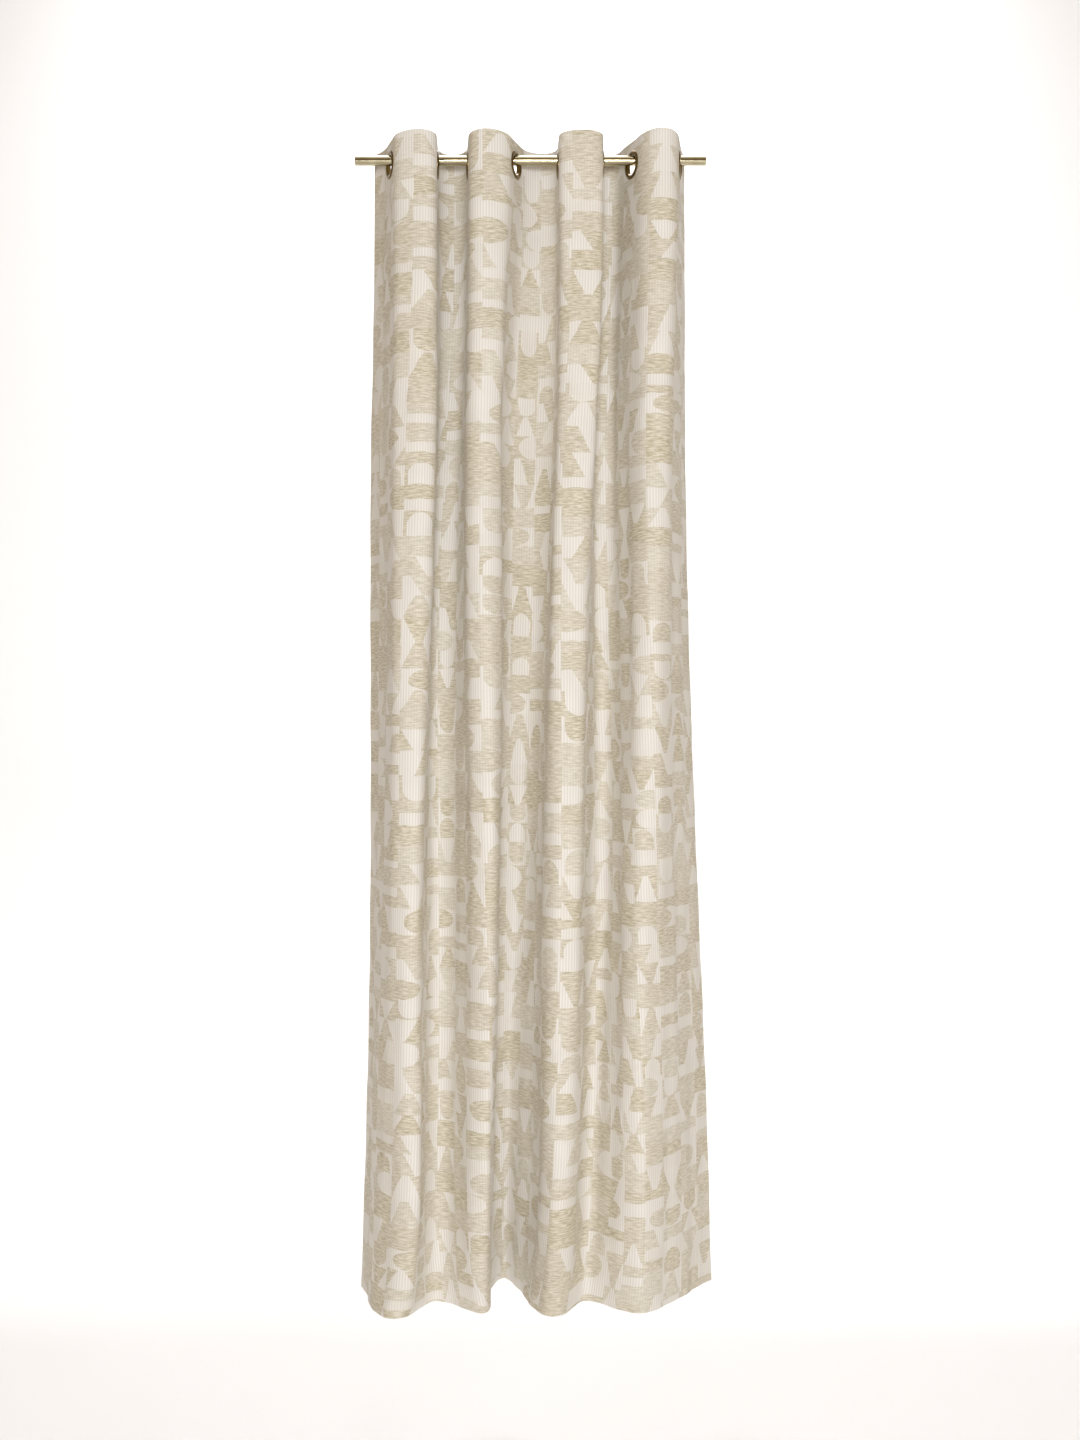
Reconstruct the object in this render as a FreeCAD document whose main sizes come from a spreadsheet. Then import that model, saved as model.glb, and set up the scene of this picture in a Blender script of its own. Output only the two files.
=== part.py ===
import FreeCAD, Part
import math
import os
import Sketcher

# Eyelet curtain on a plain round rod.
# +Z is up, X runs along the rod, and the room side of the curtain faces -Y.
# The origin is on the rod's axis, halfway along it. All sizes are in millimetres and degrees.

EYELETS = 8
FOLDS = EYELETS - 1
FRONT, BACK = -1, 1
STRIP_LEVELS = 36

SIZES = {
    "rod_radius": 10.0,
    "rod_wall": 1.0,
    "rod_chamfer": 0.5,
    "rod_free_left": 74.0,
    "rod_free_right": 55.0,
    "panel_width": 1400.0,
    "panel_drop": 2448.0,
    "cloth_thickness": 1.0,
    "stiffener_thickness": 0.6,
    "layer_gap": 0.05,
    "header_depth": 100.0,
    "bottom_hem_depth": 80.0,
    "side_hem_width": 30.0,
    "thread_thickness": 0.5,
    "thread_width": 0.8,
    "stitch_inset": 4.0,
    "eyelet_below_top": 48.0,
    "eyelet_bore_radius": 20.0,
    "eyelet_flange_width": 9.0,
    "eyelet_wall": 0.8,
    "eyelet_rim": 0.6,
    "dome_height": 2.0,
    "lip_width": 1.8,
    "lip_rounding": 0.3,
    "ring_clearance": 0.3,
    "rod_clearance": 0.8,
    "snap_clearance": 0.1,
    "flat_past_flange": 2.0,
    "narrow_fold_crest": 6.0,
    "left_edge_turn": 18.0,
    "right_edge_turn": 4.0,
}

# How far apart the eyelets stand on the rod, as a share of the cloth between them.
FOLD_SHARES = (0.566, 0.371, 0.577, 0.514, 0.526, 0.360, 0.577)
# The angle at which the cloth crosses the rod at each eyelet.
CROSSING_ANGLES = (70.0, 92.0, 85.0, 70.0, 88.0, 92.0, 66.0, 80.0)
# Where the folds hang at the hem, in eyelet pitches: place along X, depth along Y, half of the flat crest.
HEM_FOLDS = (
    (-1.651, -0.455, 0.103),
    (-1.154, 0.100, 0.114),
    (-0.537, -0.285, 0.080),
    (-0.263, 0.735, 0.046),
    (0.057, -0.400, 0.120),
    (0.720, 0.100, 0.114),
    (1.303, -0.310, 0.126),
)

SIZES.update({
    "hem_left_place": -2.086,
    "hem_left_depth": 0.456,
    "hem_right_place": 2.189,
    "hem_right_depth": 0.660,
    "hem_margin_bow": 0.03,
    "hem_corner_rounding": 0.9,
})
for number in range(FOLDS):
    SIZES[f"fold_share_{number + 1}"] = FOLD_SHARES[number]
    SIZES[f"hem_place_{number + 1}"] = HEM_FOLDS[number][0]
    SIZES[f"hem_depth_{number + 1}"] = HEM_FOLDS[number][1]
    SIZES[f"hem_crest_{number + 1}"] = HEM_FOLDS[number][2]
for number in range(EYELETS):
    SIZES[f"crossing_{number + 1}"] = CROSSING_ANGLES[number]

doc = FreeCAD.newDocument("EyeletCurtain")
sheet = doc.addObject("Spreadsheet::Sheet", "Sizes")
for row, (alias, value) in enumerate(SIZES.items(), start=1):
    sheet.set(f"A{row}", alias)
    sheet.set(f"B{row}", str(value))
    sheet.setAlias(f"B{row}", alias)
doc.recompute()


def size(alias):
    return float(sheet.get(alias))


# Places worked out from the sheet.
pitch = size("panel_width") / EYELETS
flange_radius = size("eyelet_bore_radius") + size("eyelet_flange_width")
flat_reach = flange_radius + size("flat_past_flange")
half_cloth = size("cloth_thickness") / 2
stiffener_front = half_cloth + size("layer_gap")
stiffener_back = stiffener_front + size("stiffener_thickness")
facing_front = stiffener_back + size("layer_gap")
facing_back = facing_front + size("cloth_thickness")
hem_front = half_cloth + size("layer_gap")
hem_back = hem_front + size("cloth_thickness")

eyelet_z = size("rod_radius") + size("rod_clearance") - size("eyelet_bore_radius")
top_z = eyelet_z + size("eyelet_below_top")
bottom_z = top_z - size("panel_drop")
header_z = top_z - size("header_depth")
hem_z = bottom_z + size("bottom_hem_depth")

fold_widths = [size(f"fold_share_{number + 1}") * pitch for number in range(FOLDS)]
rod_length = size("rod_free_left") + sum(fold_widths) + size("rod_free_right")
eyelet_x = [size("rod_free_left") - rod_length / 2]
for width in fold_widths:
    eyelet_x.append(eyelet_x[-1] + width)
crossings = [math.radians(size(f"crossing_{number + 1}")) for number in range(EYELETS)]
sides = [FRONT if number % 2 == 0 else BACK for number in range(EYELETS)]


# ---------------------------------------------------------------- plan of the folds


def fold_corners(first, side):
    """The two corners of one fold and their radii.

    The fold leaves its first eyelet on a straight leg, turns into a straight crest along the rod,
    and comes back on a leg to the next eyelet. Its length is the cloth between two eyelets.
    A wide fold has legs that just clear the flanges; a narrow one has a short crest and longer legs.
    """
    a, b = crossings[first], crossings[first + 1]
    width = fold_widths[first]
    sin_a, cos_a, sin_b, cos_b = math.sin(a), math.cos(a), math.sin(b), math.cos(b)
    # The crest is level, which ties the second radius to the first one and to the legs.
    per_radius = (1 - cos_a) / (1 - cos_b)
    per_leg = (sin_a - sin_b) / (1 - cos_b)
    # Cloth length less width, which the legs and the two bends take up.
    spare_leg = 2 - cos_a - cos_b + per_leg * (b - sin_b)
    spare_radius = (a - sin_a) + per_radius * (b - sin_b)
    width_leg = cos_a + cos_b + per_leg * sin_b
    width_radius = sin_a + per_radius * sin_b

    leg = flat_reach
    radius_a = (pitch - width - leg * spare_leg) / spare_radius
    crest = width - leg * width_leg - radius_a * width_radius
    if crest < size("narrow_fold_crest"):
        across = width - size("narrow_fold_crest")
        scale = spare_leg * width_radius - spare_radius * width_leg
        leg = ((pitch - width) * width_radius - spare_radius * across) / scale
        radius_a = (spare_leg * across - (pitch - width) * width_leg) / scale
    radius_b = per_radius * radius_a + per_leg * leg

    reach_a = leg + radius_a * math.tan(a / 2)
    reach_b = leg + radius_b * math.tan(b / 2)
    corner_a = (eyelet_x[first] + reach_a * cos_a, side * reach_a * sin_a)
    corner_b = (eyelet_x[first + 1] - reach_b * cos_b, side * reach_b * sin_b)
    return [(corner_a, radius_a), (corner_b, radius_b)]


def margin(eyelet, outwards, turn):
    """The bend and the edge of the cloth beyond an end eyelet, and the bend's radius."""
    hem_start = pitch / 2 - size("side_hem_width")
    bend = (flat_reach + hem_start) / 2
    tangent = 0.9 * (hem_start - flat_reach) / 2
    lean = crossings[eyelet]
    bend_point = (eyelet_x[eyelet] + outwards * bend * math.cos(lean), bend * math.sin(lean))
    rest = pitch / 2 - bend
    edge = (
        bend_point[0] + outwards * rest * math.cos(lean - turn),
        bend_point[1] + rest * math.sin(lean - turn),
    )
    return bend_point, edge, tangent / math.tan(turn / 2)


def header_plan():
    """Corners and radii of the plan at the rod, from the left edge to the right edge."""
    left_bend, left_edge, left_radius = margin(0, -1, math.radians(size("left_edge_turn")))
    right_bend, right_edge, right_radius = margin(EYELETS - 1, 1, math.radians(size("right_edge_turn")))
    corners = [(left_edge, 0), (left_bend, left_radius)]
    for first in range(FOLDS):
        corners += fold_corners(first, sides[first])
    return corners + [(right_bend, right_radius), (right_edge, 0)]


def bowed(edge, corner, bow):
    """A point halfway between an edge and a corner, pushed sideways so that the margin has a bend."""
    along = FreeCAD.Vector(corner[0] - edge[0], corner[1] - edge[1], 0)
    aside = FreeCAD.Vector(-along.y, along.x, 0) * bow
    return ((edge[0] + corner[0]) / 2 + aside.x, (edge[1] + corner[1]) / 2 + aside.y)


def hem_plan():
    """Corners and radii of the plan at the hem, with as many corners as the plan at the rod."""
    points = []
    for number in range(1, FOLDS + 1):
        place = size(f"hem_place_{number}") * pitch
        depth = size(f"hem_depth_{number}") * pitch
        crest = size(f"hem_crest_{number}") * pitch
        points += [(place - crest, depth), (place + crest, depth)]
    left_edge = (size("hem_left_place") * pitch, size("hem_left_depth") * pitch)
    right_edge = (size("hem_right_place") * pitch, size("hem_right_depth") * pitch)
    points.insert(0, bowed(left_edge, points[0], -size("hem_margin_bow")))
    points.append(bowed(right_edge, points[-1], size("hem_margin_bow")))
    points = [left_edge] + points + [right_edge]
    corners = [(points[0], 0)]
    for before, here, after in zip(points, points[1:], points[2:]):
        tangent = size("hem_corner_rounding") * min(math.dist(before, here), math.dist(here, after)) / 2
        corners.append((here, tangent / math.tan(abs(turn_at(before, here, after)) / 2)))
    return corners + [(points[-1], 0)]


def turn_at(before, here, after):
    """The change of heading at a corner, positive to the left."""
    first = math.atan2(here[1] - before[1], here[0] - before[0])
    second = math.atan2(after[1] - here[1], after[0] - here[0])
    return (second - first + math.pi) % (2 * math.pi) - math.pi


def station(point, heading):
    """A point of the plan and the direction from the cloth's front face to its back face."""
    return FreeCAD.Vector(point[0], point[1], 0), FreeCAD.Vector(-math.sin(heading), math.cos(heading), 0)


def stations(corners, hem_width):
    """The plan as lines and tangent arcs: each piece is its two or three stations.

    The first and the last line are cut where the side hems end.
    """
    pieces = []
    start = corners[0][0]
    for (before, _), (here, radius), (after, _) in zip(corners, corners[1:], corners[2:]):
        turn = turn_at(before, here, after)
        heading = math.atan2(here[1] - before[1], here[0] - before[0])
        tangent = radius * math.tan(abs(turn) / 2)
        enter = (here[0] - tangent * math.cos(heading), here[1] - tangent * math.sin(heading))
        pieces.append([station(start, heading), station(enter, heading)])
        side = math.copysign(1, turn)
        centre = (enter[0] - side * radius * math.sin(heading), enter[1] + side * radius * math.cos(heading))
        arc = []
        for share in (0, 0.5, 1):
            now = heading + share * turn
            on_arc = (centre[0] + side * radius * math.sin(now), centre[1] - side * radius * math.cos(now))
            arc.append(station(on_arc, now))
        pieces.append(arc)
        start = (arc[-1][0].x, arc[-1][0].y)
    end = corners[-1][0]
    heading = math.atan2(end[1] - start[1], end[0] - start[0])
    pieces.append([station(start, heading), station(end, heading)])

    first, last = pieces[0], pieces[-1]
    pieces[:1] = split(first, hem_width / first[0][0].distanceToPoint(first[1][0]))
    pieces[-1:] = split(last, 1 - hem_width / last[0][0].distanceToPoint(last[1][0]))
    return pieces


def share_of(piece, share):
    """The station at a share of a straight piece's length."""
    (start, across), (end, _) = piece
    return start + (end - start) * share, across


def split(piece, share):
    middle = share_of(piece, share)
    return [[piece[0], middle], [middle, piece[1]]]


def strip_levels(upper, lower):
    """A straight strip of the cloth's edge from the header down to the bottom hem, in equal steps.

    Its plan turns a little from step to step, as the ruled cloth does.
    """
    levels = []
    for step in range(STRIP_LEVELS + 1):
        share = step / STRIP_LEVELS
        piece = []
        for (point_u, across_u), (point_l, across_l) in zip(upper, lower):
            piece.append((point_u + (point_l - point_u) * share, across_u + (across_l - across_u) * share))
        levels.append(([piece], header_z + (hem_z - header_z) * share))
    return levels


# ---------------------------------------------------------------- cloth solids


def edge_of(piece, offset, z):
    points = [point + across * offset + FreeCAD.Vector(0, 0, z) for point, across in piece]
    if len(points) == 2:
        return Part.LineSegment(*points).toShape()
    return Part.Arc(*points).toShape()


def outline(pieces, front, back, z):
    """The edges round a strip of cloth seen from above, between two offsets from the plan line."""
    lift = FreeCAD.Vector(0, 0, z)
    caps = []
    for point, across in (pieces[0][0], pieces[-1][-1]):
        caps.append(Part.LineSegment(point + across * front + lift, point + across * back + lift).toShape())
    return (
        [edge_of(piece, front, z) for piece in pieces]
        + [caps[1]]
        + [edge_of(piece, back, z) for piece in reversed(pieces)]
        + [caps[0]]
    )


def cloth_solid(levels, front, back):
    """A thin solid through a strip's plan at each level, given as (pieces, z) from the top down."""
    faces = []
    for (upper, upper_z), (lower, lower_z) in zip(levels, levels[1:]):
        if upper is lower:
            drop = FreeCAD.Vector(0, 0, lower_z - upper_z)
            faces += [edge.extrude(drop) for edge in outline(upper, front, back, upper_z)]
            continue
        for above, below in zip(outline(upper, front, back, upper_z), outline(lower, front, back, lower_z)):
            faces.append(Part.makeRuledSurface(above, below))
    for pieces, z in (levels[0], levels[-1]):
        faces.append(Part.Face(Part.Wire(outline(pieces, front, back, z))))
    shell = Part.makeShell(faces)
    shell.sewShape()
    solid = Part.makeSolid(Part.Shell(shell.Faces))
    if solid.Volume < 0:
        solid.reverse()
    return solid


def with_eyelet_holes(solid):
    """The header's cloth, punched for the barrels."""
    radius = size("eyelet_bore_radius") + size("eyelet_wall") + size("ring_clearance")
    reach = flange_radius / 2
    for x, lean, side in zip(eyelet_x, crossings, sides):
        axis = FreeCAD.Vector(-side * math.sin(lean), math.cos(lean), 0)
        start = FreeCAD.Vector(x, 0, eyelet_z) - axis * reach
        solid = solid.cut(Part.makeCylinder(radius, 2 * reach, start, axis))
    return solid


def add_shape(name, shape):
    feature = doc.addObject("Part::Feature", name)
    feature.Label = name
    feature.Shape = shape
    feature.Placement = FreeCAD.Placement()
    return feature


header = stations(header_plan(), size("side_hem_width"))
hem = stations(hem_plan(), size("side_hem_width"))

panel_levels = [(header, top_z), (header, header_z), (hem, hem_z), (hem, bottom_z)]
pieces_made = [
    add_shape("curtain_panel", with_eyelet_holes(cloth_solid(panel_levels, -half_cloth, half_cloth)))
]

# The header is folded to the back over a stiffening tape.
header_levels = [(header, top_z), (header, header_z)]
for name, front, back in (
    ("header_stiffener", stiffener_front, stiffener_back),
    ("header_facing", facing_front, facing_back),
):
    pieces_made.append(add_shape(name, with_eyelet_holes(cloth_solid(header_levels, front, back))))

# The bottom hem and the side hems are turned to the back too.
hem_levels = [(hem, hem_z), (hem, bottom_z)]
pieces_made.append(add_shape("bottom_hem", cloth_solid(hem_levels, hem_front, hem_back)))

inset_share = 1 - size("stitch_inset") / size("side_hem_width")
thread_share = size("thread_width") / size("side_hem_width")
for name, place in (("left", 0), ("right", -1)):
    side_levels = strip_levels(header[place], hem[place])
    pieces_made.append(add_shape(f"{name}_side_hem", cloth_solid(side_levels, hem_front, hem_back)))
    thread_from = inset_share if name == "left" else 1 - inset_share
    rows = []
    for piece in (header[place], hem[place]):
        rows.append([share_of(piece, thread_from), share_of(piece, thread_from + thread_share)])
    thread_back = hem_back + size("thread_thickness")
    stitching = cloth_solid(strip_levels(*rows), hem_back, thread_back)
    pieces_made.append(add_shape(f"{name}_side_stitching", stitching))

# One row of stitching holds the header's facing, and one holds the bottom hem.
for name, pieces, seam_z, surface in (
    ("header_stitching", header, header_z + size("stitch_inset"), facing_back),
    ("bottom_hem_stitching", hem, hem_z - size("stitch_inset"), hem_back),
):
    seam_levels = [(pieces, seam_z), (pieces, seam_z - size("thread_width"))]
    pieces_made.append(add_shape(name, cloth_solid(seam_levels, surface, surface + size("thread_thickness"))))


# ---------------------------------------------------------------- rod and eyelets


def origin_plane(body, role):
    return next(feature for feature in body.Origin.OriginFeatures if feature.Role == role)


def attached_sketch(body, name, role):
    sketch = body.newObject("Sketcher::SketchObject", name)
    sketch.AttachmentSupport = [(origin_plane(body, role), "")]
    sketch.MapMode = "FlatFace"
    return sketch


def bind(sketch, constraint, name, expression):
    """Adds a constraint under a name, sized by an expression on the sheet."""
    index = sketch.addConstraint(constraint)
    sketch.renameConstraint(index, name)
    sketch.setExpression(f"Constraints.{name}", expression)


def make_rod():
    body = doc.addObject("PartDesign::Body", "rod_tube")
    body.Label = "rod_tube"
    sketch = attached_sketch(body, "rod_section", "YZ_Plane")
    origin = FreeCAD.Vector(0, 0, 0)
    up = FreeCAD.Vector(0, 0, 1)
    radii = (
        ("outside", size("rod_radius"), "Sizes.rod_radius"),
        ("inside", size("rod_radius") - size("rod_wall"), "Sizes.rod_radius - Sizes.rod_wall"),
    )
    for name, radius, expression in radii:
        circle = sketch.addGeometry(Part.Circle(origin, up, radius))
        sketch.addConstraint(Sketcher.Constraint("Coincident", circle, 3, -1, 1))
        bind(sketch, Sketcher.Constraint("Radius", circle, radius), name, expression)
    doc.recompute()
    pad = body.newObject("PartDesign::Pad", "rod_length")
    pad.Profile = sketch
    pad.Midplane = True
    spread = " + ".join(f"Sizes.fold_share_{number + 1}" for number in range(FOLDS))
    pad.setExpression(
        "Length",
        f"Sizes.rod_free_left + Sizes.rod_free_right + ({spread}) * Sizes.panel_width / {EYELETS}",
    )
    doc.recompute()
    chamfer = body.newObject("PartDesign::Chamfer", "rod_ends")
    chamfer.Base = (pad, edges_at(pad.Shape, size("rod_radius")))
    chamfer.setExpression("Size", "Sizes.rod_chamfer")
    body.Placement = FreeCAD.Placement()
    doc.recompute()
    return body


def edges_at(shape, radius, height=None):
    """Names of the circular edges of a radius, and of a height along Z if one is given."""
    names = []
    for number, edge in enumerate(shape.Edges, start=1):
        if not isinstance(edge.Curve, Part.Circle) or abs(edge.Curve.Radius - radius) > 1e-4:
            continue
        if height is None or abs(edge.Curve.Center.z - height) < 1e-4:
            names.append(f"Edge{number}")
    return names


# The eyelet's own Z axis runs from the cloth's front face to its back face, from the plan line.
FLANGE_RADIUS = "Sizes.eyelet_bore_radius + Sizes.eyelet_flange_width"
FRONT_SEAT = "(Sizes.cloth_thickness / 2 + Sizes.ring_clearance)"
BACK_SEAT = (
    "(Sizes.cloth_thickness * 1.5 + Sizes.stiffener_thickness"
    " + 2 * Sizes.layer_gap + Sizes.ring_clearance)"
)
front_seat = half_cloth + size("ring_clearance")
back_seat = facing_back + size("ring_clearance")
ring_height = size("eyelet_rim") + size("dome_height")
lip_under = back_seat + ring_height + size("snap_clearance")
lip_top = lip_under + size("eyelet_wall")
lip_radius = size("eyelet_bore_radius") + size("eyelet_wall") + size("lip_width")


def dome_arc(start, end, crown, radius):
    """An arc between two points at one height, drawn anticlockwise, with its crown at another."""
    inner, outer = sorted((start, end), key=lambda point: point.x)
    below = crown < start.y
    centre = FreeCAD.Vector((start.x + end.x) / 2, crown + (radius if below else -radius), 0)
    first, last = (inner, outer) if below else (outer, inner)
    angles = [math.atan2(point.y - centre.y, point.x - centre.x) for point in (first, last)]
    circle = Part.Circle(centre, FreeCAD.Vector(0, 0, 1), radius)
    return Part.ArcOfCircle(circle, *angles)


def ring_sketch(body, name, corners, domes):
    """A closed half section: corners are (radius, height, radius expression, height expression).

    Each dome is an arc in place of the line after that corner, with its radius's expression.
    """
    sketch = attached_sketch(body, name, "XZ_Plane")
    count = len(corners)
    for index in range(count):
        start = FreeCAD.Vector(corners[index][0], corners[index][1], 0)
        end = FreeCAD.Vector(corners[(index + 1) % count][0], corners[(index + 1) % count][1], 0)
        if index in domes:
            crown, radius, _ = domes[index]
            sketch.addGeometry(dome_arc(start, end, crown, radius))
        else:
            sketch.addGeometry(Part.LineSegment(start, end))
    ends = []
    for index, geometry in enumerate(sketch.Geometry):
        start = FreeCAD.Vector(corners[index][0], corners[index][1], 0)
        starts_first = geometry.StartPoint.distanceToPoint(start) < 1e-6
        ends.append((1, 2) if starts_first else (2, 1))
    for index in range(count):
        after = (index + 1) % count
        sketch.addConstraint(Sketcher.Constraint("Coincident", index, ends[index][1], after, ends[after][0]))
    for index, (radius, height, radius_words, height_words) in enumerate(corners):
        corner = ends[index][0]
        bind(sketch, Sketcher.Constraint("DistanceX", -1, 1, index, corner, radius), f"r{index}x", radius_words)
        bind(sketch, Sketcher.Constraint("DistanceY", -1, 1, index, corner, height), f"z{index}y", height_words)
    for index, (crown, radius, expression) in domes.items():
        bind(sketch, Sketcher.Constraint("Radius", index, radius), f"dome{index}", expression)
    return sketch


def dome(chord, rise, chord_words, rise_words):
    """The radius of an arc over a chord, as a number and as an expression."""
    radius = (chord * chord / 4 + rise * rise) / (2 * rise)
    words = f"(({chord_words}) ^ 2 / 4 + ({rise_words}) ^ 2) / (2 * ({rise_words}))"
    return radius, words


def make_ring(name, section, x, lean, side):
    body = doc.addObject("PartDesign::Body", name)
    body.Label = name
    corners, domes = section
    sketch = ring_sketch(body, f"{name}_section", corners, domes)
    doc.recompute()
    revolution = body.newObject("PartDesign::Revolution", f"{name}_turned")
    revolution.Profile = sketch
    revolution.ReferenceAxis = (sketch, ["V_Axis"])
    revolution.Angle = 360
    doc.recompute()
    if name.endswith("front_ring"):
        edges = edges_at(revolution.Shape, lip_radius, lip_top)
        edges += edges_at(revolution.Shape, size("eyelet_bore_radius"), lip_top)
        fillet = body.newObject("PartDesign::Fillet", f"{name}_lip")
        fillet.Base = (revolution, edges)
        fillet.setExpression("Radius", "Sizes.lip_rounding")
    across = FreeCAD.Vector(-side * math.sin(lean), math.cos(lean), 0)
    turn = FreeCAD.Rotation(FreeCAD.Vector(0, 0, 1), across)
    body.Placement = FreeCAD.Placement(FreeCAD.Vector(x, 0, eyelet_z), turn)
    return body


def front_section():
    """The front ring: a domed flange, the barrel through the cloth, and its rolled lip."""
    bore, outer, wall = size("eyelet_bore_radius"), flange_radius, size("eyelet_wall")
    rim, rise = size("eyelet_rim"), size("dome_height")
    bore_words, outer_words = "Sizes.eyelet_bore_radius", FLANGE_RADIUS
    barrel_words = f"{bore_words} + Sizes.eyelet_wall"
    lip_words = f"{barrel_words} + Sizes.lip_width"
    under_words = f"{BACK_SEAT} + Sizes.eyelet_rim + Sizes.dome_height + Sizes.snap_clearance"
    seat_words = f"-{FRONT_SEAT}"
    rim_words = f"-{FRONT_SEAT} - Sizes.eyelet_rim"
    corners = [
        (bore, -front_seat - rim, bore_words, rim_words),
        (bore, lip_top, bore_words, f"{under_words} + Sizes.eyelet_wall"),
        (lip_radius, lip_top, lip_words, f"{under_words} + Sizes.eyelet_wall"),
        (lip_radius, lip_under, lip_words, under_words),
        (bore + wall, lip_under, barrel_words, under_words),
        (bore + wall, -front_seat, barrel_words, seat_words),
        (outer - wall, -front_seat, f"{outer_words} - Sizes.eyelet_wall", seat_words),
        (outer, -front_seat, outer_words, seat_words),
        (outer, -front_seat - rim, outer_words, rim_words),
    ]
    hollow_rise = rim + rise - wall
    hollow_words = "Sizes.eyelet_rim + Sizes.dome_height - Sizes.eyelet_wall"
    hollow = dome(outer - bore - 2 * wall, hollow_rise,
                  f"{outer_words} - {bore_words} - 2 * Sizes.eyelet_wall", hollow_words)
    crown = dome(outer - bore, rise, f"{outer_words} - {bore_words}", "Sizes.dome_height")
    domes = {
        5: (-front_seat - hollow_rise, *hollow),
        8: (-front_seat - rim - rise, *crown),
    }
    return corners, domes


def back_section():
    """The back ring: a domed washer round the barrel, held by its lip."""
    wall, outer = size("eyelet_wall"), flange_radius
    bore = size("eyelet_bore_radius") + wall + size("snap_clearance")
    rim, rise = size("eyelet_rim"), size("dome_height")
    outer_words = FLANGE_RADIUS
    bore_words = "Sizes.eyelet_bore_radius + Sizes.eyelet_wall + Sizes.snap_clearance"
    rim_words = f"{BACK_SEAT} + Sizes.eyelet_rim"
    corners = [
        (bore, back_seat, bore_words, BACK_SEAT),
        (bore + wall, back_seat, f"{bore_words} + Sizes.eyelet_wall", BACK_SEAT),
        (outer - wall, back_seat, f"{outer_words} - Sizes.eyelet_wall", BACK_SEAT),
        (outer, back_seat, outer_words, BACK_SEAT),
        (outer, back_seat + rim, outer_words, rim_words),
        (bore, back_seat + rim, bore_words, rim_words),
    ]
    hollow_rise = rim + rise - wall
    hollow_words = "Sizes.eyelet_rim + Sizes.dome_height - Sizes.eyelet_wall"
    hollow = dome(outer - bore - 2 * wall, hollow_rise,
                  f"{outer_words} - ({bore_words}) - 2 * Sizes.eyelet_wall", hollow_words)
    crown = dome(outer - bore, rise, f"{outer_words} - ({bore_words})", "Sizes.dome_height")
    domes = {
        1: (back_seat + hollow_rise, *hollow),
        4: (back_seat + rim + rise, *crown),
    }
    return corners, domes


pieces_made.append(make_rod())
for number, (x, lean, side) in enumerate(zip(eyelet_x, crossings, sides), start=1):
    pieces_made.append(make_ring(f"eyelet_{number}_front_ring", front_section(), x, lean, side))
    pieces_made.append(make_ring(f"eyelet_{number}_back_ring", back_section(), x, lean, side))
doc.recompute()


# ---------------------------------------------------------------- checks and files

for item in doc.Objects:
    if "Invalid" in item.State or "Error" in item.State:
        raise RuntimeError(f"{item.Label} failed: {item.State}")
for piece in pieces_made:
    if piece.Shape.isNull() or not piece.Shape.isValid() or len(piece.Shape.Solids) != 1:
        raise RuntimeError(f"{piece.Label} is not one valid solid")

os.makedirs("parts", exist_ok=True)
for piece in pieces_made:
    piece.Shape.exportStep(f"parts/{piece.Label}.step")
    box = piece.Shape.BoundBox
    print(
        f"{piece.Label}: volume {piece.Shape.Volume:.1f}"
        f" x {box.XMin:.2f} {box.XMax:.2f} y {box.YMin:.2f} {box.YMax:.2f} z {box.ZMin:.2f} {box.ZMax:.2f}"
    )
print(f"rod length {rod_length:.2f}, eyelets at {[round(x, 2) for x in eyelet_x]}, z {eyelet_z:.2f}")
for name, pieces in (("header", header), ("hem", hem)):
    print(f"{name} plan length {sum(edge_of(piece, 0, 0).Length for piece in pieces):.1f}")
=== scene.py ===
import math

import bpy
import mathutils
import numpy as np
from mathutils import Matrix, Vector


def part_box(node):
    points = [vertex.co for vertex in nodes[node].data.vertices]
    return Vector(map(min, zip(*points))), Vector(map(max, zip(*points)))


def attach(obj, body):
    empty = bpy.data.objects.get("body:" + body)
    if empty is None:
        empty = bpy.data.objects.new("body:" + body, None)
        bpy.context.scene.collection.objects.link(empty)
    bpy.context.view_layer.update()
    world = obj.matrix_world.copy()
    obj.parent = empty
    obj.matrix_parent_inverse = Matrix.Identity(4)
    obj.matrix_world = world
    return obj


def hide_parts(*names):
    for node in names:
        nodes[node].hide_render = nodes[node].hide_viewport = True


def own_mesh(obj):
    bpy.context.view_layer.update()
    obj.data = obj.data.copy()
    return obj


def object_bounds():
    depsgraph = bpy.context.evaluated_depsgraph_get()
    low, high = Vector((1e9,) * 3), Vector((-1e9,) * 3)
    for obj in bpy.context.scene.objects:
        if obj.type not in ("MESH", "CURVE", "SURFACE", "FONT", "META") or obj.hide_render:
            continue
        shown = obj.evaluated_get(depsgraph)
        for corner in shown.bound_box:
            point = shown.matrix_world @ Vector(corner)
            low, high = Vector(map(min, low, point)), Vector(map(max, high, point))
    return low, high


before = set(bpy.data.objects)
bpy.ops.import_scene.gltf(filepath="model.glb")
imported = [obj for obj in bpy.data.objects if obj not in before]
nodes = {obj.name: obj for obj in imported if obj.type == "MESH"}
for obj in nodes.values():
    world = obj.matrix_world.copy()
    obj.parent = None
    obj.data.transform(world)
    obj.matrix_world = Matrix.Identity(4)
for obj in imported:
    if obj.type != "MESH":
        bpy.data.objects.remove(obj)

cad_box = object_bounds()

# ---------------------------------------------------------------- curtain rod
# One plain round tube, 20 mm across, with square ends. It is drawn steel, plated in a pale
# antique brass and lacquered, and the curtain's eyelets slide along it.


def linear(hex_colour):
    """The linear colour of an sRGB hex value."""
    channels = [int(hex_colour[place:place + 2], 16) / 255 for place in (0, 2, 4)]
    return [c / 12.92 if c <= 0.04045 else ((c + 0.055) / 1.055) ** 2.4 for c in channels] + [1]


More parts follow.
